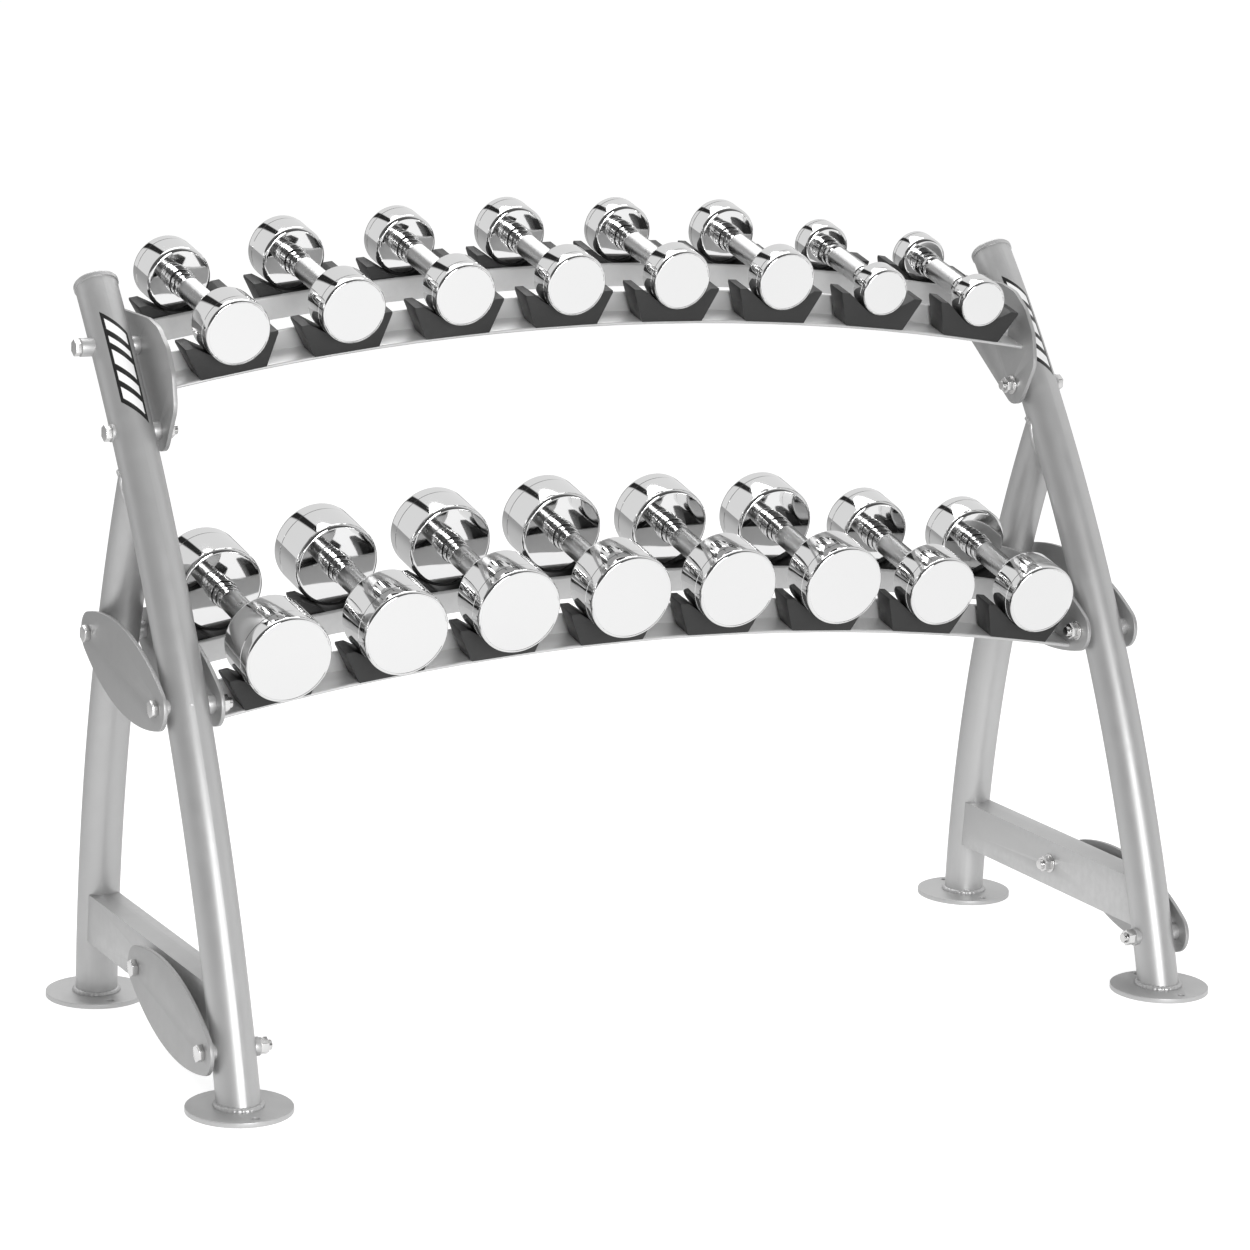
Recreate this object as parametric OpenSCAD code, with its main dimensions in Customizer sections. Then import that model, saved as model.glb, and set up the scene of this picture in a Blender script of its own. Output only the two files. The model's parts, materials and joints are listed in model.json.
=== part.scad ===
// Two-tier dumbbell rack with arched trays and sixteen chrome dumbbells.
// Frame: +X to the right, +Y to the rear, +Z up; origin on the floor at the middle of the four feet.

/* [Side frames] */
// Distance between the two side frames, tube centre to tube centre
frame_spacing = 1236; // [1180:2:1300]
// Distance between the front and rear feet, centre to centre
foot_span = 470; // [460:1:480]
// Outside diameter of the round frame tubes
tube_d = 50.8; // [48:0.1:51]
// Wall thickness of the round frame tubes
tube_wall = 2.5; // [2:0.5:4]
// Bending radius of the front upright
upright_bend = 2238; // [2200:1:2280]
// Lean of the front upright at the floor, in degrees
upright_lean = 15.8; // [15.4:0.1:16.2]
// Lean of the front upright at its top end, in degrees
upright_top_lean = 41.3; // [41:0.1:43]
// Bending radius of the rear leg
leg_bend = 1781; // [1750:1:1810]
// Forward lean of the rear leg at the floor, in degrees
leg_lean = 1.4; // [1.2:0.1:1.6]
// Forward lean of the rear leg where it meets the upright, in degrees
leg_top_lean = 23.6; // [23.4:0.1:23.8]
// Height of the middle of the cross tube
cross_z = 104.5; // [100:0.5:110]
// Height of the cross tube's section
cross_h = 60; // [50:1:64]
// Width of the cross tube's section
cross_w = 38; // [34:1:40]
// Diameter of a foot plate
foot_d = 123; // [118:1:130]
// Thickness of a foot plate
foot_t = 6; // [5:0.5:8]
// Radius of a floor-bolt hole
foot_hole_r = 4.5; // [4:0.25:5]
// Distance between the two floor-bolt holes of a foot
foot_hole_span = 98; // [94:1:102]

/* [Petal plates] */
// Thickness of the petal plates
plate_t = 5; // [4:0.5:5]
// Gap between a tube's side and a petal plate
plate_gap = 7; // [6:0.5:8]
// Radius of a petal plate's rounded ends
petal_end_r = 26; // [24:1:28]
// Half the width of a petal plate at its middle
petal_half_w = 50; // [46:1:54]

/* [Trays] */
// Radius of the trays' upward arch
arch_r = 3200; // [3100:10:3400]
// Backward tilt of the trays, in degrees
tray_tilt = 12.5; // [12:0.1:13]
// Depth position of the upper tray's front saddles
upper_y = 115; // [113:1:117]
// Height of the upper tray's front rail at mid-span
upper_z = 826; // [824:1:828]
// Depth position of the lower tray's front saddles
lower_y = -30; // [-32:1:-28]
// Height of the lower tray's front rail at mid-span
lower_z = 465; // [463:1:467]
// Distance between neighbouring dumbbells along the arch
pitch = 144; // [143:0.5:146]
// Distance between the front and rear saddles of one dumbbell
saddle_span = 137; // [136:1:140]
// Thickness of the angle rails
rail_t = 4.8; // [4:0.2:5]
// Height of the rails' standing flange
rail_h = 30; // [28:1:30]

/* [Saddles] */
// Depth of a saddle along the dumbbell
saddle_depth = 34; // [32:1:34]
// How far the front saddles stand forward of their screws
front_shift = 7; // [4:1:8]
// Half the width of a saddle's base
saddle_base = 41; // [40:1:43]
// Half the width of a saddle across its arms
saddle_top = 58; // [56:1:61]
// Height of a saddle's arms
saddle_h = 42; // [40:1:44]
// Radius of the round bottom of the cradle
cradle_r = 33; // [31:1:34]
// Thickness of a saddle under its cradle
cradle_floor = 17; // [16:0.5:19]
// Slope of the cradle's sides, in degrees
cradle_slope = 34; // [33.5:0.5:35]

/* [Dumbbells] */
// Distance between the two heads of every dumbbell
grip_gap = 130; // [128:1:131]
// Diameter of the handles' knurled grip
grip_d = 28; // [27:0.5:30]
// Head diameters of the upper tray's four sizes, left to right
upper_head_d = [81, 78, 76, 62];
// Head lengths of the upper tray's four sizes
upper_head_l = [50, 44, 38, 33];
// Head diameters of the lower tray's four sizes
lower_head_d = [106, 106, 102, 90];
// Head lengths of the lower tray's four sizes
lower_head_l = [70, 64, 58, 52];

/* [Hidden] */
$fn = 96;
SIDES = ["left", "right"];
PER_TRAY = 8;
function side_x(side) = side == "left" ? -1 : 1;

tube_r = tube_d / 2;
frame_x = frame_spacing / 2;
plate_in = tube_r + plate_gap;      // from a tube's centre to the near face of a petal plate
plate_out = plate_in + plate_t;     // ... and to its far face
front_foot = -foot_span / 2;
rear_foot = foot_span / 2;

// Bend centres of the two tubes in the side view (y, z)
upright_c = [front_foot + upright_bend * cos(upright_lean), -upright_bend * sin(upright_lean)];
leg_c = [rear_foot - leg_bend * cos(leg_lean), -leg_bend * sin(leg_lean)];
function upright_lean_at(z) = asin((z - upright_c[1]) / upright_bend);
function leg_lean_at(z) = asin((z - leg_c[1]) / leg_bend);
function on_upright(z) = [upright_c[0] - upright_bend * cos(upright_lean_at(z)), z];
function on_leg(z) = [leg_c[0] + leg_bend * cos(leg_lean_at(z)), z];

// Frame bolts, as (y, z) in the side view
bolt_r = 6;
bolt_hole_r = 6.4;
B_FRONT = on_upright(66);           // bottom plate to the upright
B_CROSS = [-2, 105];                // bottom plate to the cross tube
M_FRONT = on_upright(428);          // lower tray to the upright
M_REAR = on_leg(469);               // lower tray to the rear leg
T_LOW = on_upright(715);            // upper tray, lower bolt
T_HIGH = on_upright(805);           // upper tray, upper bolt
UPRIGHT_BOLTS = [B_FRONT, M_FRONT, T_LOW, T_HIGH];
cup_r = 11;
washer_r = 12;
washer_t = 2;
head_af = 18;
head_t = 7.5;
nut_t = 10;
shank_clear = 0.2;

// Trays
saddle_contact = 0.3;               // running clearance between a head and its cradle
cradle_x = cradle_r * sin(cradle_slope);
cradle_n = cradle_floor + cradle_r * (1 - cos(cradle_slope));
vee_n = cradle_n - cradle_x * tan(cradle_slope);
function seat_height(r) = saddle_contact / cos(cradle_slope)
    + (r > cradle_r ? vee_n + r / cos(cradle_slope) : cradle_floor + r);
function slot_angle(i) = (i - (PER_TRAY - 1) / 2) * pitch / arch_r * 180 / PI;
rail_half = frame_x - plate_out;    // the rails end on the inner petal plates
lip_d = 21;                         // from the saddles' middle to the front rail's lip
flange_d = 16.8;                    // ... and to the standing flange
screw_r = 3;
screw_hole_r = 3.1;
TRAYS = ["upper", "lower"];
function tray_y(tray) = tray == "upper" ? upper_y : lower_y;
function tray_z(tray) = tray == "upper" ? upper_z : lower_z;
function head_d(tray, i) = (tray == "upper" ? upper_head_d : lower_head_d)[floor(i / 2)];
function head_l(tray, i) = (tray == "upper" ? upper_head_l : lower_head_l)[floor(i / 2)];

// ---------- helpers ----------

// Puts a shape drawn in (y, z) and extruded along its own z into the side view, thickness along +X
module side_view(x = 0) {
    translate([x, 0, 0]) rotate([90, 0, 90]) children();
}

// A bar of round section bent about a centre in the side view, between two angles
module bent_bar(centre, bend, from, to, r, side) {
    side_view(side_x(side) * frame_x) translate([centre[0], centre[1], 0])
        rotate([0, 0, from]) rotate_extrude(angle = to - from, $fn = 360)
            translate([bend, 0]) circle(r);
}

module upright_bar(side, r, extra = 0) {
    bent_bar(upright_c, upright_bend, 180 - upright_top_lean - extra, 181 - upright_lean, r, side);
}

module leg_bar(side, r) {
    bent_bar(leg_c, leg_bend, leg_lean - 1, leg_top_lean, r, side);
}

// Everything below the top faces of the foot plates
module floor_block() {
    translate([-frame_spacing, -foot_span, foot_t - 100]) cube([2 * frame_spacing, 2 * foot_span, 100]);
}

// A bar along X through a side frame at (y, z), from x0 to x1 measured outwards from the tube's centre
module cross_bar(side, at, r, x0, x1, fn = 48) {
    s = side_x(side);
    translate([s * frame_x, at[0], at[1]]) rotate([0, s * 90, 0])
        translate([0, 0, x0]) cylinder(r = r, h = x1 - x0, $fn = fn);
}

// A petal outline with round ends at (0, 0) and (len, 0)
module petal(len) {
    half = len / 2;
    w = petal_half_w;
    bow = (half * half + w * w - petal_end_r * petal_end_r) / (2 * (w - petal_end_r));
    reach = petal_end_r * half / (bow - petal_end_r);
    circle(petal_end_r);
    translate([len, 0]) circle(petal_end_r);
    intersection() {
        translate([half, w - bow]) circle(bow, $fn = 360);
        translate([half, bow - w]) circle(bow, $fn = 360);
        translate([-reach, -w]) square([len + 2 * reach, 2 * w]);
    }
}

// The outline stretched around a ring of discs, each [[y, z], r], given anticlockwise
function rim_points(a, b) =
    let (d = b[0] - a[0], n = atan2(d[1], d[0]) - 90 + asin((a[1] - b[1]) / norm(d)))
    [a[0] + a[1] * [cos(n), sin(n)], b[0] + b[1] * [cos(n), sin(n)]];

module around_discs(discs) {
    count = len(discs);
    for (disc = discs) translate(disc[0]) circle(disc[1]);
    polygon([for (i = [0:count - 1]) each rim_points(discs[i], discs[(i + 1) % count])]);
}

// A flat plate in the side view, its outline drawn in (y, z), with a bolt hole at each of two places.
// x_face is its face nearest the tube's centre, measured outwards.
module side_plate(side, x_face, a, b) {
    s = side_x(side);
    x_low = s * frame_x + min(s * x_face, s * (x_face + sign(x_face) * plate_t));
    side_view(x_low) difference() {
        linear_extrude(plate_t) children();
        for (at = [a, b]) translate([at[0], at[1], -1]) cylinder(r = bolt_hole_r, h = plate_t + 2);
    }
}

module petal_plate(side, x_face, a, b) {
    side_plate(side, x_face, a, b)
        translate(a) rotate(atan2(b[1] - a[1], b[0] - a[0])) petal(norm(b - a));
}

// Moves children from a tray's own frame (x along, y depth, z off the rail) to slot angle psi of its arch
module on_tray(tray, psi) {
    translate([0, 0, tray_z(tray) - arch_r]) rotate([0, psi, 0])
        translate([0, tray_y(tray), arch_r]) rotate([tray_tilt, 0, 0]) children();
}

// Sweeps a section drawn in (height, minus depth) along the arch and trims it at the end plates
module arch_sweep(tray) {
    half = asin(rail_half / arch_r) + 1;
    intersection() {
        translate([0, 0, tray_z(tray) - arch_r]) rotate([90, 0, 0]) rotate([0, 0, 90 - half])
            rotate_extrude(angle = 2 * half, $fn = 720)
                translate([arch_r, -tray_y(tray)]) rotate(tray_tilt) children();
        translate([-rail_half, -foot_span, 0]) cube([2 * rail_half, 2 * foot_span, 1200]);
    }
}

// Angle section, drawn in (height, minus depth): a flat flange from its rounded toe to the standing flange
function round_toe(centre, from) =
    [for (k = [0:6]) centre + rail_t / 2 * [cos(from + 30 * k), sin(from + 30 * k)]];

module angle_section(toe_d, stand_d) {
    len = abs(stand_d - toe_d);
    way = sign(stand_d - toe_d);
    outline = concat(
        round_toe([rail_t / 2, -rail_t / 2], 90), [[len, -rail_t]],
        round_toe([len - rail_t / 2, rail_h - rail_t * 1.5], 0), [[len - rail_t, 0]]);
    polygon([for (p = outline) [p[1], -toe_d - way * p[0]]]);
}

// ---------- side frames ----------

module upright(side) {
    color([0.74, 0.75, 0.75]) difference() {
        upright_bar(side, tube_r);
        upright_bar(side, tube_r - tube_wall, 0.5);
        floor_block();
        for (at = UPRIGHT_BOLTS) {
            captive = at == T_HIGH && !through_top(side);
            cross_bar(side, at, bolt_hole_r, -tube_d, captive ? captive_x : tube_d);
        }
    }
}

module rear_leg(side) {
    color([0.74, 0.75, 0.75]) difference() {
        leg_bar(side, tube_r);
        bent_bar(leg_c, leg_bend, leg_lean - 2, leg_top_lean + 1, tube_r - tube_wall, side);
        upright_bar(side, tube_r + 0.02);
        floor_block();
        cross_bar(side, M_REAR, bolt_hole_r, -tube_d, tube_d);
    }
}

module cross_tube(side) {
    wall = 2.5;
    front = on_upright(cross_z)[0];
    rear = on_leg(cross_z)[0];
    x_mid = side_x(side) * frame_x;
    color([0.74, 0.75, 0.75]) difference() {
        translate([x_mid - cross_w / 2, front, cross_z - cross_h / 2])
            cube([cross_w, rear - front, cross_h]);
        translate([x_mid - cross_w / 2 + wall, front - 1, cross_z - cross_h / 2 + wall])
            cube([cross_w - 2 * wall, rear - front + 2, cross_h - 2 * wall]);
        upright_bar(side, tube_r + 0.02);
        leg_bar(side, tube_r + 0.02);
        cross_bar(side, B_CROSS, bolt_hole_r, -tube_d, tube_d);
    }
}

module foot_plates() {
    color([0.74, 0.75, 0.75]) for (side = SIDES, y = [front_foot, rear_foot])
        translate([side_x(side) * frame_x, y, 0]) difference() {
            cylinder(d = foot_d, h = foot_t);
            for (s = [-1, 1]) translate([0, s * foot_hole_span / 2, -1])
                cylinder(r = foot_hole_r, h = foot_t + 2);
        }
}

module end_cap(side) {
    rim = 3;
    cap_r = tube_r + 1.4;
    cap_h = 7;
    at = upright_c + upright_bend * [-cos(upright_top_lean), sin(upright_top_lean)];
    color([0.74, 0.75, 0.75]) translate([side_x(side) * frame_x, at[0], at[1]])
        rotate([-upright_top_lean, 0, 0]) rotate_extrude() {
            square([cap_r - rim, cap_h]);
            square([cap_r, cap_h - rim]);
            translate([cap_r - rim, cap_h - rim]) intersection() {
                circle(rim, $fn = 48);
                square(rim + 1);
            }
        }
}

module bottom_plate(side) {
    color([0.66, 0.67, 0.67]) petal_plate(side, plate_in, B_FRONT, B_CROSS);
}

module middle_plate(side) {
    color([0.66, 0.67, 0.67]) petal_plate(side, plate_in, M_FRONT, M_REAR);
}

// The upper tray's plate is an egg shape that reaches back to the rear rail
module end_plate(tray, side) {
    color([0.66, 0.67, 0.67])
        if (tray == "upper") side_plate(side, -plate_in, T_LOW, T_HIGH)
            around_discs(concat(
                [[T_LOW + [-4, 0], 24], [T_LOW + [130, 95], 30]],
                [for (a = [90:22.5:180]) [T_LOW + [40, 38] + 58 * [cos(a), sin(a)], 30]]));
        else petal_plate(side, -plate_in, M_FRONT, M_REAR);
}

// ---------- trays ----------

module rail(tray, row) {
    y0 = row == "front" ? 0 : saddle_span;
    color(row == "front" ? [0.74, 0.75, 0.75] : [0.8, 0.8, 0.8]) difference() {
        arch_sweep(tray)
            if (row == "front") angle_section(-lip_d, flange_d + rail_t);
            else angle_section(y0 + lip_d, y0 - flange_d - rail_t);
        for (i = [0:PER_TRAY - 1]) on_tray(tray, slot_angle(i))
            translate([0, y0, -rail_t - 2]) cylinder(r = screw_hole_r, h = rail_t + 4, $fn = 32);
    }
}

// One moulded saddle standing on z = 0, with its cradle along Y and its depth from y0 to y0 + saddle_depth
module saddle(y0) {
    difference() {
        translate([0, y0 + saddle_depth, 0]) rotate([90, 0, 0]) linear_extrude(saddle_depth) polygon([
            [-saddle_base, 0], [saddle_base, 0], [saddle_top, saddle_h - 3], [saddle_top, saddle_h],
            [-saddle_top, saddle_h], [-saddle_top, saddle_h - 3]]);
        translate([0, saddle_depth, 0]) rotate([90, 0, 0]) linear_extrude(2 * saddle_depth) {
            rise = 60;
            polygon([
                [-cradle_x, cradle_n], [cradle_x, cradle_n],
                [cradle_x + rise / tan(cradle_slope), cradle_n + rise],
                [-cradle_x - rise / tan(cradle_slope), cradle_n + rise]]);
            translate([0, cradle_floor + cradle_r]) circle(cradle_r);
        }
        translate([0, 0, -1]) cylinder(r = screw_hole_r, h = 11, $fn = 32);
    }
}

module saddles(tray) {
    front = -saddle_depth / 2 - front_shift;
    rear = -flange_d;
    color([0.14, 0.14, 0.15]) for (i = [0:PER_TRAY - 1]) on_tray(tray, slot_angle(i)) {
        saddle(front);
        translate([0, saddle_span, 0]) saddle(rear);
    }
}

module saddle_screws() {
    screw_head_r = 5.5;
    screw_head_t = 3.5;
    color([0.3, 0.3, 0.3]) for (tray = TRAYS, i = [0:PER_TRAY - 1], y = [0, saddle_span])
        on_tray(tray, slot_angle(i)) translate([0, y, -rail_t]) {
            translate([0, 0, -screw_head_t]) cylinder(r = screw_head_r, h = screw_head_t, $fn = 32);
            cylinder(r = screw_r, h = rail_t + 8, $fn = 32);
        }
}

// ---------- fasteners of the side frames ----------

// The right upright's top bolt has its head inside the tube; the left one passes right through
captive_x = 5;
function through_top(side) = side == "left";

// Each joint: bolt place, where the head's face and the nut's face bear, outwards positive
function frame_joints(side) = [
    [B_FRONT, plate_out, -tube_r - 5], [B_CROSS, plate_out, -cross_w / 2 - washer_t],
    [M_FRONT, plate_out, -plate_out - washer_t], [M_REAR, plate_out, -plate_out - washer_t],
    [T_LOW, tube_r + 2, -plate_out - washer_t],
    [T_HIGH, through_top(side) ? tube_r + 14 : captive_x, -plate_out - washer_t]
];

module frame_bolts() {
    tail = 5;
    color([0.78, 0.78, 0.76]) for (side = SIDES, j = frame_joints(side)) {
        cross_bar(side, j[0], head_af / sqrt(3), j[1], j[1] + head_t, 6);
        cross_bar(side, j[0], bolt_r, j[2] - nut_t - tail, j[1]);
    }
}

module frame_nuts() {
    color([0.78, 0.78, 0.76]) for (side = SIDES, j = frame_joints(side)) difference() {
        cross_bar(side, j[0], head_af / sqrt(3), j[2] - nut_t, j[2], 6);
        cross_bar(side, j[0], bolt_r + shank_clear, j[2] - nut_t - 1, j[2] + 1);
    }
}

module frame_washers() {
    color([0.7, 0.7, 0.68]) for (side = SIDES, j = frame_joints(side))
        if (j[2] != -tube_r - 5) difference() {
            cross_bar(side, j[0], washer_r, j[2], j[2] + washer_t);
            cross_bar(side, j[0], bolt_r + shank_clear, j[2] - 1, j[2] + washer_t + 1);
        }
}

// Spacers that bridge from the round tubes to the flat plates, heads and nuts
function cup_joints(side) = [
    [B_FRONT, 0, plate_in], [B_FRONT, -tube_r - 5, 0], [B_CROSS, cross_w / 2, plate_in],
    [M_FRONT, 0, plate_in], [M_FRONT, -plate_in, 0], [M_REAR, 0, plate_in], [M_REAR, -plate_in, 0],
    [T_LOW, 0, tube_r + 2], [T_LOW, -plate_in, 0], [T_HIGH, -plate_in, 0],
    if (through_top(side)) [T_HIGH, 0, tube_r + 14]
];

module spacer_cups() {
    core = tube_r - 2;
    color([0.75, 0.75, 0.75]) for (side = SIDES, j = cup_joints(side)) {
        lean = j[0] == M_REAR ? leg_lean_at(j[0][1]) : -upright_lean_at(j[0][1]);
        difference() {
            if (j[0] == B_CROSS) cross_bar(side, j[0], cup_r, j[1], j[2]);
            else cross_bar(side, j[0], cup_r, j[1] < 0 ? j[1] : core - 6, j[1] < 0 ? -core + 6 : j[2]);
            cross_bar(side, j[0], bolt_hole_r, -60, 60);
            if (j[0] != B_CROSS) translate([side_x(side) * frame_x, j[0][0], j[0][1]])
                rotate([lean, 0, 0]) cylinder(r = tube_r + 0.05, h = 80, center = true);
        }
    }
}

// ---------- dumbbells ----------

// One head with rounded edges, its inner face on y = 0 and its body towards +Y
module head(d, l) {
    edge = 3;
    rotate([-90, 0, 0]) rotate_extrude() {
        square([d / 2 - edge, l]);
        translate([0, edge]) square([d / 2, l - 2 * edge]);
        for (y = [edge, l - edge]) translate([d / 2 - edge, y]) circle(edge, $fn = 48);
    }
}

module in_slot(tray, i) {
    on_tray(tray, slot_angle(i))
        translate([0, saddle_span / 2, seat_height(head_d(tray, i) / 2)]) children();
}

module dumbbell_heads(tray, i) {
    color([0.85, 0.86, 0.87]) in_slot(tray, i) for (turn = [0, 180]) rotate([0, 0, turn])
        translate([0, grip_gap / 2, 0]) head(head_d(tray, i), head_l(tray, i));
}

module dumbbell_handle(tray, i) {
    collar_r = 17;
    collar_l = 8;
    neck_r = 12;
    neck_l = 5;
    half = grip_gap / 2;
    color([0.8, 0.81, 0.82]) in_slot(tray, i) rotate([-90, 0, 0]) rotate_extrude() {
        translate([0, -half]) square([neck_r, 2 * half]);
        translate([0, -half + collar_l + neck_l]) square([grip_d / 2, 2 * (half - collar_l - neck_l)]);
        for (y = [-half, half - collar_l]) translate([0, y]) square([collar_r, collar_l]);
    }
}

// ---------- nodes ----------

for (side = SIDES) {
    upright(side);
    rear_leg(side);
    cross_tube(side);
    end_cap(side);
    bottom_plate(side);
    middle_plate(side);
}
foot_plates();
for (tray = TRAYS) {
    for (side = SIDES)
        end_plate(tray, side);
    for (row = ["front", "rear"])
        rail(tray, row);
    saddles(tray);
    for (i = [1:PER_TRAY]) {
        dumbbell_heads(tray, i - 1);
        dumbbell_handle(tray, i - 1);
    }
}
saddle_screws();
frame_bolts();
frame_nuts();
frame_washers();
spacer_cups();
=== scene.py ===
"""Looks of the two-tier dumbbell rack: satin silver tubes, moulded saddles and mirror-chrome dumbbells."""
import json
import math

import bmesh
import bpy
from mathutils import Matrix, Vector


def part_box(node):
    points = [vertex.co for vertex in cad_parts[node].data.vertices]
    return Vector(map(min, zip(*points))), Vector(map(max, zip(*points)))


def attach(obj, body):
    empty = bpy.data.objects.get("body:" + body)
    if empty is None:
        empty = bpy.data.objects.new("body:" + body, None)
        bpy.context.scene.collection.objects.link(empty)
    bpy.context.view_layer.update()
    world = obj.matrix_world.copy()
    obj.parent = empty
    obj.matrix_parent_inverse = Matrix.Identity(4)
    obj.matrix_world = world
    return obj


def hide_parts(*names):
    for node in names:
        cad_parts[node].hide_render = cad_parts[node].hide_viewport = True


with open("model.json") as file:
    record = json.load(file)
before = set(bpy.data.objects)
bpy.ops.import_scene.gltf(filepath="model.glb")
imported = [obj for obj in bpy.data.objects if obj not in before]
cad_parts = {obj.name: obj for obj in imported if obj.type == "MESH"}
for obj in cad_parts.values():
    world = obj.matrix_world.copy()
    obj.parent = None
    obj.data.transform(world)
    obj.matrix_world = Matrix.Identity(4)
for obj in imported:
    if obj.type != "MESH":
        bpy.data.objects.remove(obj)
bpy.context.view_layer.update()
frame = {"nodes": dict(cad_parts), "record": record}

TRAYS = ("upper", "lower")
SIDES = {"left": -1, "right": 1}
PER_TRAY = 8

# Side frames, in metres, as in the CAD model
FOOT_R = 0.0615
FOOT_T = 0.006
FOOT_Y = 0.235
FRAME_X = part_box("foot_plates")[1].x - FOOT_R
TUBE_R = 0.0254
UPRIGHT_BEND, UPRIGHT_LEAN = 2.238, math.radians(15.8)
LEG_BEND, LEG_LEAN, LEG_TOP_LEAN = 1.781, math.radians(1.4), math.radians(23.6)
# Bend centres of the two tubes in the side view (y, z)
UPRIGHT_C = (-FOOT_Y + UPRIGHT_BEND * math.cos(UPRIGHT_LEAN), -UPRIGHT_BEND * math.sin(UPRIGHT_LEAN))
LEG_C = (FOOT_Y - LEG_BEND * math.cos(LEG_LEAN), -LEG_BEND * math.sin(LEG_LEAN))

# Dumbbells, in metres
GRIP_R = 0.0138
COLLAR_R = 0.017
GRIP_INSET = 0.030


# ---------- shader groups ----------

def new_group(name, inputs, outputs):
    """A shader node group with named sockets; returns it with its input and output nodes."""
    group = bpy.data.node_groups.new(name, "ShaderNodeTree")
    for label, kind, value in inputs:
        socket = group.interface.new_socket(label, in_out="INPUT", socket_type=kind)
        socket.default_value = value
    for label, kind in outputs:
        group.interface.new_socket(label, in_out="OUTPUT", socket_type=kind)
    return group, group.nodes.new("NodeGroupInput"), group.nodes.new("NodeGroupOutput")


def noise(group, coords, scale_from, detail=3.0, roughness=0.5):
    """A 3-D noise texture in a group, its scale taken from a socket."""
    node = group.nodes.new("ShaderNodeTexNoise")
    node.inputs["Detail"].default_value = detail
    node.inputs["Roughness"].default_value = roughness
    group.links.new(coords, node.inputs["Vector"])
    group.links.new(scale_from, node.inputs["Scale"])
    return node


def make_grain_group():
    """Fine surface grain, as a bumped normal."""
    group, given, out = new_group(
        "fine_grain",
        [("Vector", "NodeSocketVector", (0, 0, 0)), ("Scale", "NodeSocketFloat", 900.0),
         ("Depth", "NodeSocketFloat", 0.2)],
        [("Normal", "NodeSocketVector")])
    grain = noise(group, given.outputs["Vector"], given.outputs["Scale"])
    bump = group.nodes.new("ShaderNodeBump")
    bump.inputs["Distance"].default_value = 0.0004
    group.links.new(given.outputs["Depth"], bump.inputs["Strength"])
    group.links.new(grain.outputs["Fac"], bump.inputs["Height"])
    group.links.new(bump.outputs["Normal"], out.inputs["Normal"])
    return group


def make_drift_group():
    """Slow change of colour over a surface, and of roughness where hands have smudged it."""
    group, given, out = new_group(
        "tone_drift",
        [("Vector", "NodeSocketVector", (0, 0, 0)), ("Scale", "NodeSocketFloat", 6.0),
         ("Smudge Scale", "NodeSocketFloat", 40.0),
         ("Tone A", "NodeSocketColor", (1, 1, 1, 1)), ("Tone B", "NodeSocketColor", (1, 1, 1, 1)),
         ("Rough Low", "NodeSocketFloat", 0.3), ("Rough High", "NodeSocketFloat", 0.4)],
        [("Color", "NodeSocketColor"), ("Roughness", "NodeSocketFloat")])
    slow = noise(group, given.outputs["Vector"], given.outputs["Scale"])
    smudge = noise(group, given.outputs["Vector"], given.outputs["Smudge Scale"], 5.0, 0.6)
    mix = group.nodes.new("ShaderNodeMix")
    mix.data_type = "RGBA"
    group.links.new(slow.outputs["Fac"], mix.inputs["Factor"])
    group.links.new(given.outputs["Tone A"], mix.inputs[6])
    group.links.new(given.outputs["Tone B"], mix.inputs[7])
    spread = group.nodes.new("ShaderNodeMapRange")
    spread.inputs["From Min"].default_value = 0.35
    spread.inputs["From Max"].default_value = 0.7
    group.links.new(smudge.outputs["Fac"], spread.inputs["Value"])
    group.links.new(given.outputs["Rough Low"], spread.inputs["To Min"])
    group.links.new(given.outputs["Rough High"], spread.inputs["To Max"])
    group.links.new(mix.outputs[2], out.inputs["Color"])
    group.links.new(spread.outputs["Result"], out.inputs["Roughness"])
    return group


def make_wear_group():
    """Lightens raised edges a little, where a finish rubs thin."""
    group, given, out = new_group(
        "edge_wear",
        [("Color", "NodeSocketColor", (1, 1, 1, 1)), ("Worn", "NodeSocketColor", (1, 1, 1, 1)),
         ("Amount", "NodeSocketFloat", 0.5), ("Vector", "NodeSocketVector", (0, 0, 0))],
        [("Color", "NodeSocketColor")])
    shape = group.nodes.new("ShaderNodeNewGeometry")
    edge = group.nodes.new("ShaderNodeMapRange")
    edge.inputs["From Min"].default_value = 0.52
    edge.inputs["From Max"].default_value = 0.62
    group.links.new(shape.outputs["Pointiness"], edge.inputs["Value"])
    breakup = group.nodes.new("ShaderNodeTexNoise")
    breakup.inputs["Scale"].default_value = 120.0
    group.links.new(given.outputs["Vector"], breakup.inputs["Vector"])
    broken = group.nodes.new("ShaderNodeMath")
    broken.operation = "MULTIPLY"
    group.links.new(edge.outputs["Result"], broken.inputs[0])
    group.links.new(breakup.outputs["Fac"], broken.inputs[1])
    mask = group.nodes.new("ShaderNodeMath")
    mask.operation = "MULTIPLY"
    group.links.new(broken.outputs[0], mask.inputs[0])
    group.links.new(given.outputs["Amount"], mask.inputs[1])
    mix = group.nodes.new("ShaderNodeMix")
    mix.data_type = "RGBA"
    group.links.new(mask.outputs[0], mix.inputs["Factor"])
    group.links.new(given.outputs["Color"], mix.inputs[6])
    group.links.new(given.outputs["Worn"], mix.inputs[7])
    group.links.new(mix.outputs[2], out.inputs["Color"])
    return group


FINE_GRAIN = make_grain_group()
TONE_DRIFT = make_drift_group()
EDGE_WEAR = make_wear_group()


# ---------- materials ----------

def grey(value, warmth=0.0):
    """A grey tone, a little warmer where asked."""
    return (value + warmth, value, value - warmth, 1.0)


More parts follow.
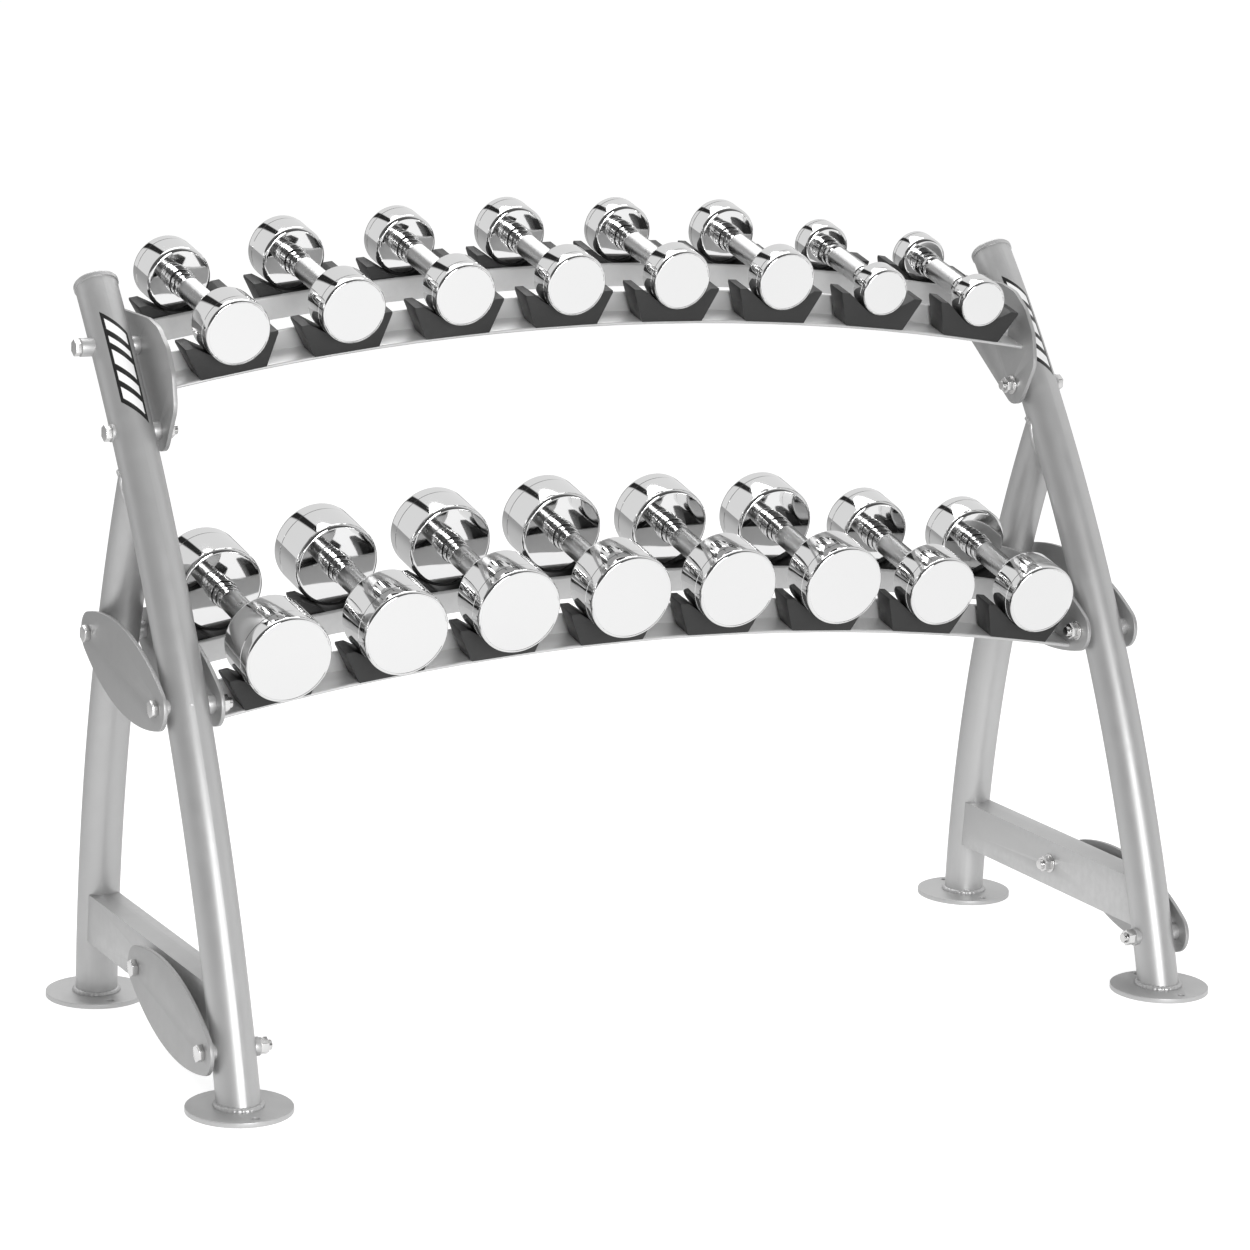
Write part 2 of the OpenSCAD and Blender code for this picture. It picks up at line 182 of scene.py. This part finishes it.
def new_material(name, metallic, specular=0.5, coat=0.0, coat_roughness=0.1):
    """A material with a Principled shader and Object coordinates ready to link."""
    material = bpy.data.materials.new(name)
    material.use_nodes = True
    shader = material.node_tree.nodes["Principled BSDF"]
    shader.inputs["Metallic"].default_value = metallic
    shader.inputs["Specular IOR Level"].default_value = specular
    shader.inputs["Coat Weight"].default_value = coat
    shader.inputs["Coat Roughness"].default_value = coat_roughness
    place = material.node_tree.nodes.new("ShaderNodeTexCoord")
    return material, shader, place.outputs["Object"]


def add_group(material, group, coords, **values):
    """Adds a shader group to a material, with values for its sockets."""
    node = material.node_tree.nodes.new("ShaderNodeGroup")
    node.node_tree = group
    material.node_tree.links.new(coords, node.inputs["Vector"])
    for label, value in values.items():
        node.inputs[label.replace("_", " ")].default_value = value
    return node


def finish_material(name, tone_a, tone_b, rough, grain, metallic, worn=None, **shader_values):
    """A finish made of tone drift, fine grain and, where asked, edge wear."""
    material, shader, coords = new_material(name, metallic, **shader_values)
    links = material.node_tree.links
    drift = add_group(material, TONE_DRIFT, coords, Scale=5.0, Smudge_Scale=38.0, Tone_A=tone_a,
                      Tone_B=tone_b, Rough_Low=rough[0], Rough_High=rough[1])
    fine = add_group(material, FINE_GRAIN, coords, Scale=grain[0], Depth=grain[1])
    colour = drift.outputs["Color"]
    if worn:
        wear = add_group(material, EDGE_WEAR, coords, Worn=worn, Amount=0.7)
        links.new(colour, wear.inputs["Color"])
        colour = wear.outputs["Color"]
    links.new(colour, shader.inputs["Base Color"])
    links.new(drift.outputs["Roughness"], shader.inputs["Roughness"])
    links.new(fine.outputs["Normal"], shader.inputs["Normal"])
    return material


MATERIALS = {
    "frame_paint": finish_material(
        "silver_satin_paint", grey(0.48), grey(0.53), (0.40, 0.48), (1400.0, 0.12), 0.65,
        worn=grey(0.65), coat=0.12, coat_roughness=0.35),
    # painted shade: the plates carry a darker copy of the tubes' silver paint, standing for the shade they
    # face into
    "plate_paint": finish_material(
        "silver_plate_paint_painted_shade", grey(0.38), grey(0.43), (0.42, 0.50), (1400.0, 0.12), 0.65,
        worn=grey(0.6), coat=0.1, coat_roughness=0.35),
    "rail_paint": finish_material(
        "silver_rail_paint", grey(0.56), grey(0.61), (0.38, 0.46), (1400.0, 0.10), 0.55,
        worn=grey(0.7), coat=0.15, coat_roughness=0.35),
    "saddle_plastic": finish_material(
        "moulded_black_plastic", grey(0.014), grey(0.020), (0.40, 0.52), (700.0, 0.35), 0.0,
        worn=grey(0.05), specular=0.4),
    "zinc": finish_material(
        "bright_zinc_plate", grey(0.66, 0.004), grey(0.74, 0.004), (0.16, 0.28), (500.0, 0.12), 1.0,
        worn=grey(0.85)),
    "dark_screw": finish_material(
        "dark_oxide_steel", grey(0.10), grey(0.16), (0.30, 0.45), (600.0, 0.2), 1.0, worn=grey(0.4)),
    "head_chrome": finish_material(
        "mirror_chrome", grey(0.76), grey(0.80), (0.03, 0.06), (60.0, 0.0), 1.0),
    "grip_chrome": finish_material(
        "knurled_chrome", grey(0.50), grey(0.56), (0.26, 0.34), (800.0, 0.1), 1.0),
    "collar_chrome": finish_material(
        "turned_chrome", grey(0.62), grey(0.68), (0.12, 0.18), (60.0, 0.0), 1.0),
    "weld": finish_material(
        "painted_weld", grey(0.50), grey(0.56), (0.32, 0.44), (500.0, 0.2), 0.6,
        coat=0.1, coat_roughness=0.3),
    "label_black": finish_material(
        "printed_black", grey(0.012), grey(0.016), (0.30, 0.36), (900.0, 0.05), 0.0, coat=0.3),
    "label_white": finish_material(
        "printed_white", grey(0.76), grey(0.80), (0.30, 0.36), (900.0, 0.05), 0.0, coat=0.3),
}
SLOT_OF_NODE = {row["node"]: row["material_slot"] for row in frame["record"]["subparts"]}


# ---------- mesh helpers ----------

def add_piece(name, form, material, body, smooth_angle=35.0):
    """Turns a bmesh into a named piece that rides on a body; edges sharper than the angle stay crisp."""
    bmesh.ops.recalc_face_normals(form, faces=form.faces)
    for face in form.faces:
        face.smooth = True
    limit = math.radians(smooth_angle)
    for edge in form.edges:
        edge.smooth = len(edge.link_faces) == 2 and edge.calc_face_angle(0.0) < limit
    mesh = bpy.data.meshes.new(name)
    form.to_mesh(mesh)
    form.free()
    mesh.materials.append(MATERIALS[material])
    piece = bpy.data.objects.new(name, mesh)
    bpy.context.scene.collection.objects.link(piece)
    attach(piece, body)
    return piece


def softened(node, width, segments=3, angle=25.0):
    """A copy of a CAD node with its sharp edges rounded, standing for that node."""
    form = bmesh.new()
    form.from_mesh(frame["nodes"][node].data)
    bmesh.ops.remove_doubles(form, verts=form.verts, dist=1e-6)
    bmesh.ops.dissolve_limit(form, angle_limit=math.radians(0.5), verts=form.verts, edges=form.edges)
    sharp = [e for e in form.edges
             if len(e.link_faces) == 2 and e.calc_face_angle(0.0) > math.radians(angle)]
    bmesh.ops.bevel(form, geom=sharp, offset=width, segments=segments, profile=0.5, affect="EDGES",
                    clamp_overlap=True, material=-1)
    bmesh.ops.remove_doubles(form, verts=form.verts, dist=1e-6)
    piece = add_piece(node + "_finished", form, SLOT_OF_NODE[node], "frame")
    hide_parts(node)
    return piece


def spun(form, outline, steps, matrix):
    """Spins an outline of (radius, height) points about the Z axis and places it with a matrix."""
    made = [form.verts.new((r, 0.0, h)) for r, h in outline]
    edges = [form.edges.new(pair) for pair in zip(made, made[1:])]
    bmesh.ops.spin(form, geom=made + edges, cent=(0, 0, 0), axis=(0, 0, 1), dvec=(0, 0, 0),
                   angle=2 * math.pi, steps=steps, use_merge=True, use_duplicate=False)
    bmesh.ops.remove_doubles(form, verts=form.verts, dist=1e-7)
    bmesh.ops.transform(form, matrix=matrix, verts=form.verts)


def round_corner(centre, radii, start, end, steps=8):
    """Points of an elliptical arc in the (radius, height) plane, angles in degrees."""
    turn = [math.radians(start + (end - start) * k / steps) for k in range(steps + 1)]
    return [(centre[0] + radii[0] * math.cos(a), centre[1] + radii[1] * math.sin(a)) for a in turn]


def merged(forms):
    """Joins several bmeshes into the first one."""
    whole = forms[0]
    for other in forms[1:]:
        mesh = bpy.data.meshes.new("joined")
        other.to_mesh(mesh)
        other.free()
        whole.from_mesh(mesh)
        bpy.data.meshes.remove(mesh)
    return whole


# ---------- dumbbells ----------

def dumbbell_axes(name):
    """Centre, side, length and lift directions of a dumbbell, read from its nodes and its joint."""
    lift = next(Vector(j["axis"]) for j in frame["record"]["behaviour"]["joints"] if j["child"] == name)
    lift.normalize()
    side = Vector((lift.z, 0.0, -lift.x)).normalized()
    along = lift.cross(side)
    low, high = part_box(name + "_heads")
    return (low + high) / 2, side, along, lift


def reach(node, centre, direction):
    """How far a node's points lie from a centre along a direction: least and most distance."""
    found = [(v.co - centre).dot(direction) for v in frame["nodes"][node].data.vertices]
    return min(abs(d) for d in found), max(abs(d) for d in found)


def head_outline(radius, inner, outer):
    """Section of a head from its centre hole to its rolled rim and its dished outer face."""
    inner_rim, outer_rim = (0.0050, 0.0050), (0.0028, 0.0046)
    groove, dish = 0.0005, 0.0004
    groove_at = inner + 0.72 * (outer - inner)
    step_r = radius - outer_rim[0] - dish
    return (
        [(0.0, inner), (COLLAR_R + 0.002, inner)]
        + round_corner((radius - inner_rim[0], inner + inner_rim[1]), inner_rim, -90, 0)
        + [(radius, groove_at - groove), (radius - groove, groove_at), (radius, groove_at + groove)]
        + round_corner((radius - outer_rim[0], outer - outer_rim[1]), outer_rim, 0, 90)
        + [(step_r, outer), (step_r - dish, outer - dish), (0.0, outer - dish)])


def dumbbell_heads(name):
    """The two turned heads of a dumbbell, standing for its CAD heads."""
    centre, side, along, lift = dumbbell_axes(name)
    node = name + "_heads"
    radius = reach(node, centre, side)[1]
    inner, outer = reach(node, centre, along)
    forms = []
    for way in (1, -1):
        form = bmesh.new()
        place = Matrix((side * way, lift, along * way)).transposed().to_4x4()
        place.translation = centre
        spun(form, head_outline(radius, inner, outer), 96, place)
        forms.append(form)
    piece = add_piece(node + "_turned", merged(forms), "head_chrome", name, 25.0)
    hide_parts(node)


def turned_band(low, high, start, end, chamfer=0.0007):
    """Section of a turned ring that stands proud of a neck, with chamfered edges."""
    return [(low, start), (high - chamfer, start), (high, start + chamfer),
            (high, end - chamfer), (high - chamfer, end), (low, end)]


def grip_outline(half):
    """Section of a handle's end, from its knurled grip out to a head: three turned rings on a neck."""
    grip_end = half - GRIP_INSET
    neck_drop = 0.0012
    neck_r = GRIP_R - neck_drop
    outline = [(GRIP_R, grip_end), (neck_r, grip_end + neck_drop)]
    for start, end, drop in ((0.004, 0.010, 0.0022), (0.0125, 0.020, 0.0010), (0.023, GRIP_INSET, 0.0)):
        outline += turned_band(neck_r, COLLAR_R - drop, grip_end + start, grip_end + end)
    return outline


def dumbbell_handle(name):
    """A handle whose grip carries a raised diamond knurl."""
    centre, side, along, lift = dumbbell_axes(name)
    half = reach(name + "_heads", centre, along)[0]
    knurl_depth = 0.0007
    around, rings = 72, 64
    grip_end = half - GRIP_INSET
    place = Matrix((side, lift, along)).transposed().to_4x4()
    place.translation = centre
    grip = bmesh.new()
    rows = [-grip_end + 2 * grip_end * k / rings for k in range(rings + 1)]
    spun(grip, [(GRIP_R, h) for h in rows], around, Matrix.Identity(4))
    for vert in grip.verts:
        turn = round(math.atan2(vert.co.y, vert.co.x) / (2 * math.pi) * around)
        row = round((vert.co.z + grip_end) / (2 * grip_end) * rings)
        if (turn + row) % 2 and 0 < row < rings:
            scale = 1 + knurl_depth / GRIP_R
            vert.co.x *= scale
            vert.co.y *= scale
    bmesh.ops.transform(grip, matrix=place, verts=grip.verts)
    forms = [grip]
    for way in (1, -1):
        end = bmesh.new()
        turned = Matrix((side * way, lift, along * way)).transposed().to_4x4()
        turned.translation = centre
        spun(end, grip_outline(half), 64, turned)
        forms.append(end)
    whole = merged(forms)
    bmesh.ops.remove_doubles(whole, verts=whole.verts, dist=1e-6)
    piece = add_piece(name + "_handle_knurled", whole, "grip_chrome", name, 25.0)
    piece.data.materials.append(MATERIALS["collar_chrome"])
    for face in piece.data.polygons:
        if abs((face.center - centre).dot(along)) > grip_end:
            face.material_index = 1
    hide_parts(name + "_handle")


# ---------- welds ----------

def full_turn(steps):
    """Evenly spaced angles once round a circle."""
    return [2 * math.pi * k / steps for k in range(steps)]


def tube_point(which, lean):
    """A point on a bent tube's centre line at a lean angle, in the side view."""
    if which == "upright":
        return UPRIGHT_C[0] - UPRIGHT_BEND * math.cos(lean), UPRIGHT_C[1] + UPRIGHT_BEND * math.sin(lean)
    return LEG_C[0] + LEG_BEND * math.cos(lean), LEG_C[1] + LEG_BEND * math.sin(lean)


def weld_bead(name, path, radius, closed=True):
    """A rippled bead along a path: a round section whose size swells with each pass of the torch."""
    section, ripple, ripple_steps = 8, 0.10, 4
    form = bmesh.new()
    count = len(path)
    rings = []
    for k, point in enumerate(path):
        before = path[k - 1] if closed or k else path[k]
        after = path[(k + 1) % count] if closed or k < count - 1 else path[k]
        heading = (after - before).normalized()
        turn = heading.to_track_quat("Z", "Y").to_matrix().to_4x4()
        turn.translation = point
        size = radius * (1.0 + ripple * math.cos(2 * math.pi * k / ripple_steps))
        ring = bmesh.ops.create_circle(form, cap_ends=False, segments=section, radius=size, matrix=turn)
        rings.append(ring["verts"])
    pairs = zip(rings, rings[1:] + rings[:1]) if closed else zip(rings, rings[1:])
    for first, second in pairs:
        for k in range(section):
            form.faces.new((first[k], first[(k + 1) % section], second[(k + 1) % section], second[k]))
    if not closed:
        for ring in (rings[0], rings[-1]):
            form.faces.new(ring)
    piece = add_piece(name, form, "weld", "frame", 60.0)


def foot_welds():
    """A bead where each tube stands on its foot plate."""
    bead_r, bead_z = 0.0038, FOOT_T + 0.001
    for side, x_sign in SIDES.items():
        for which, y, lean in (("front", -FOOT_Y, UPRIGHT_LEAN), ("rear", FOOT_Y, -LEG_LEAN)):
            shift = FOOT_T * math.tan(lean)
            path = [Vector((x_sign * FRAME_X + TUBE_R * math.cos(a),
                            y + shift + TUBE_R * math.sin(a) / math.cos(lean), bead_z))
                    for a in full_turn(128)]
            weld_bead(f"weld_foot_{which}_{side}", path, bead_r)


def crotch_welds():
    """A bead where each rear leg runs into its upright."""
    bead_r = 0.0028
    for side, x_sign in SIDES.items():
        path = [leg_meets_upright(x_sign, a) for a in full_turn(112)]
        weld_bead(f"weld_crotch_{side}", path, bead_r)


def leg_meets_upright(x_sign, a):
    """Finds by halving where one line of the leg's wall touches the upright's wall."""
    across = TUBE_R * math.cos(a)
    low, high = math.radians(14.0), LEG_TOP_LEAN
    inner = math.sqrt(max(TUBE_R ** 2 - across ** 2, 0.0))

    def wall(t):
        y, z = tube_point("leg", t)
        y += TUBE_R * math.sin(a) * math.cos(t)
        z += TUBE_R * math.sin(a) * math.sin(t)
        return y, z, UPRIGHT_BEND - inner - math.hypot(y - UPRIGHT_C[0], z - UPRIGHT_C[1])

    for _ in range(40):
        middle = (low + high) / 2
        if wall(middle)[2] < 0:
            high = middle
        else:
            low = middle
    y, z, _ = wall((low + high) / 2)
    return Vector((x_sign * FRAME_X + across, y, z))


# ---------- plain striped labels ----------

def label_patch(name, x_sign, start, end, half_turn, slant, above, material):
    """A thin patch that follows the front of an upright between two heights, its ends slanted."""
    rows, columns, thickness = 10, 14, 0.00007
    form = bmesh.new()
    bmesh.ops.create_grid(form, x_segments=columns, y_segments=rows, size=1.0)
    for vert in form.verts:
        around = vert.co.x * half_turn
        z = start + (end - start) * (vert.co.y + 1) / 2 + slant * around
        lean = math.asin(z / UPRIGHT_BEND + math.sin(UPRIGHT_LEAN))
        y, z = tube_point("upright", lean)
        out = (TUBE_R + above) * math.cos(around)
        vert.co = (x_sign * FRAME_X + (TUBE_R + above) * math.sin(around),
                   y - out * math.cos(lean), z + out * math.sin(lean))
    bmesh.ops.solidify(form, geom=form.faces, thickness=thickness)
    piece = add_piece(name, form, material, "frame")


def striped_labels():
    """A dark label with pale slanted bars on the front of each upright, above its tray bolt."""
    slant = -0.020
    bars = ((0.732, 0.744), (0.751, 0.761), (0.768, 0.783), (0.790, 0.797), (0.804, 0.815))
    for side, x_sign in SIDES.items():
        label_patch(f"label_{side}", x_sign, 0.726, 0.820, 0.58, slant, 0.00010, "label_black")
        for number, (start, end) in enumerate(bars, 1):
            label_patch(f"label_bar_{number}_{side}", x_sign, start, end, 0.44, slant, 0.00022,
                        "label_white")


# ---------- the frame's own nodes ----------

def finish_nodes():
    """Rounds the edges of what is cut or moulded, and gives the rest its finish."""
    for side in SIDES:
        for part in ("bottom_plate", "middle_plate", "upper_end_plate", "lower_end_plate"):
            softened(f"{part}_{side}", 0.0009)
        softened(f"cross_tube_{side}", 0.0035, 4, 60.0)
    softened("foot_plates", 0.0012)
    softened("frame_bolts", 0.0007)
    softened("frame_nuts", 0.0007)
    softened("frame_washers", 0.0004)
    softened("spacer_cups", 0.0006)
    for tray in TRAYS:
        softened(f"{tray}_saddles", 0.0013)
    for name, node in frame["nodes"].items():
        material = MATERIALS[SLOT_OF_NODE[name]]
        node.data.materials.clear()
        node.data.materials.append(material)


# ---------- stage ----------

def make_camera():
    """A long lens at the rack's left front, a little above it and turned slightly about its axis."""
    place = Vector((-2.27879, -4.38281, 1.53146))
    yaw, pitch, roll = 0.474384, 0.212934, -0.028324
    ahead = Vector((math.sin(yaw) * math.cos(pitch), math.cos(yaw) * math.cos(pitch), -math.sin(pitch)))
    level = Vector((math.cos(yaw), -math.sin(yaw), 0.0))
    down = ahead.cross(level)
    right = math.cos(roll) * level + math.sin(roll) * down
    below = -math.sin(roll) * level + math.cos(roll) * down
    data = bpy.data.cameras.new("camera")
    data.sensor_width = 36.0
    data.lens = 119.9
    data.clip_end = 150.0
    camera = bpy.data.objects.new("camera", data)
    camera.matrix_world = Matrix((right, -below, -ahead)).transposed().to_4x4()
    camera.location = place
    bpy.context.scene.collection.objects.link(camera)
    bpy.context.scene.camera = camera


def make_floor():
    """A pale floor that glows softly, more in front of the rack than behind it."""
    form = bmesh.new()
    bmesh.ops.create_grid(form, x_segments=1, y_segments=1, size=40.0)
    mesh = bpy.data.meshes.new("floor")
    form.to_mesh(mesh)
    form.free()
    floor = bpy.data.objects.new("floor", mesh)
    bpy.context.scene.collection.objects.link(floor)
    material = bpy.data.materials.new("pale_floor")
    material.use_nodes = True
    shader = material.node_tree.nodes["Principled BSDF"]
    shader.inputs["Base Color"].default_value = grey(0.5)
    shader.inputs["Roughness"].default_value = 0.9
    shader.inputs["Emission Color"].default_value = grey(1.0)
    tree = material.node_tree
    place = tree.nodes.new("ShaderNodeTexCoord")
    parts = tree.nodes.new("ShaderNodeSeparateXYZ")
    tree.links.new(place.outputs["Object"], parts.inputs[0])
    glow = studio_ramp(tree, parts.outputs["Y"], -0.4, 1.6, 0.60, 0.10)
    rays = tree.nodes.new("ShaderNodeLightPath")
    tree.links.new(studio_math(tree, "MAXIMUM", glow, studio_math(
        tree, "MULTIPLY", rays.outputs["Is Camera Ray"], 0.75)), shader.inputs["Emission Strength"])
    shader.inputs["Specular IOR Level"].default_value = 0.1
    mesh.materials.append(material)


def soft_box(name, place, target, size, power, mirrored=True):
    """A rectangular lamp aimed at a point; one that is not mirrored stays out of reflections."""
    data = bpy.data.lights.new(name, "AREA")
    data.shape = "RECTANGLE"
    data.size, data.size_y = size
    data.energy = power
    light = bpy.data.objects.new(name, data)
    light.location = place
    light.visible_glossy = mirrored
    light.rotation_mode = "QUATERNION"
    light.rotation_quaternion = (Vector(target) - Vector(place)).to_track_quat("-Z", "Y")
    bpy.context.scene.collection.objects.link(light)


# Dark upright flags around the rack, seen as streaks in the chrome: azimuth, half width (degrees), depth
FLAGS = ((-19.0, 5.5, 0.97), (-75.0, 6.0, 0.85))
DOME_DIFFUSE = 0.55
DOME_BRIGHT = 0.85
DOME_DARK = 0.10


def studio_math(tree, operation, first, second=None):
    """A math node whose inputs are sockets or numbers."""
    node = tree.nodes.new("ShaderNodeMath")
    node.operation = operation
    for slot, value in enumerate((first, second)):
        if value is None:
            continue
        if isinstance(value, (int, float)):
            node.inputs[slot].default_value = value
        else:
            tree.links.new(value, node.inputs[slot])
    return node.outputs[0]


def studio_ramp(tree, value, start, end, low, high):
    """A smooth step from one tone to another."""
    node = tree.nodes.new("ShaderNodeMapRange")
    node.interpolation_type = "SMOOTHSTEP"
    for label, number in (("From Min", start), ("From Max", end), ("To Min", low), ("To Max", high)):
        node.inputs[label].default_value = number
    tree.links.new(value, node.inputs["Value"])
    return node.outputs["Result"]


def make_world():
    """A white cove behind and above the rack, and a dark room with flags for the chrome to mirror."""
    world = bpy.data.worlds.new("studio")
    bpy.context.scene.world = world
    world.use_nodes = True
    tree = world.node_tree
    background = tree.nodes["Background"]
    background.inputs["Color"].default_value = (1.0, 1.0, 1.0, 1.0)
    place = tree.nodes.new("ShaderNodeTexCoord")
    parts = tree.nodes.new("ShaderNodeSeparateXYZ")
    tree.links.new(place.outputs["Generated"], parts.inputs[0])
    cove = studio_math(tree, "ADD", studio_math(tree, "MULTIPLY", parts.outputs["X"], 0.5),
                       studio_math(tree, "MULTIPLY", parts.outputs["Y"], 0.86))
    tone = studio_ramp(tree, cove, -0.45, 0.1, DOME_DARK, DOME_BRIGHT)
    azimuth = studio_math(tree, "ARCTAN2", parts.outputs["X"], parts.outputs["Y"])
    for centre, half_width, depth in FLAGS:
        away = studio_math(tree, "ABSOLUTE", studio_math(tree, "SUBTRACT", azimuth, math.radians(centre)))
        flag = studio_ramp(tree, away, math.radians(half_width * 0.75), math.radians(half_width * 1.25),
                          1.0 - depth, 1.0)
        tone = studio_math(tree, "MULTIPLY", tone, flag)
    rays = tree.nodes.new("ShaderNodeLightPath")
    strength = None
    for seen_by, level in (("Is Camera Ray", 1.0), ("Is Diffuse Ray", DOME_DIFFUSE),
                           ("Is Glossy Ray", tone)):
        share = studio_math(tree, "MULTIPLY", rays.outputs[seen_by], level)
        strength = share if strength is None else studio_math(tree, "ADD", strength, share)
    tree.links.new(strength, background.inputs["Strength"])


def make_studio():
    """A tall strip in front, a key lamp kept out of the chrome and a top lamp."""
    soft_box("front_strip", (-0.7, -5.0, 1.5), (0.0, 0.0, 0.5), (1.3, 2.8), 150.0)
    soft_box("key", (-3.0, -2.6, 3.0), (0.0, 0.0, 0.4), (1.4, 1.4), 38.0, mirrored=False)
    soft_box("top", (0.0, 1.4, 3.2), (0.0, 0.0, 0.5), (3.0, 1.4), 45.0)
    bpy.context.scene.view_settings.view_transform = "Standard"


make_camera()
make_world()
make_studio()
make_floor()
finish_nodes()
foot_welds()
crotch_welds()
striped_labels()
for tray in TRAYS:
    for number in range(1, PER_TRAY + 1):
        dumbbell_heads(f"{tray}_dumbbell_{number}")
        dumbbell_handle(f"{tray}_dumbbell_{number}")
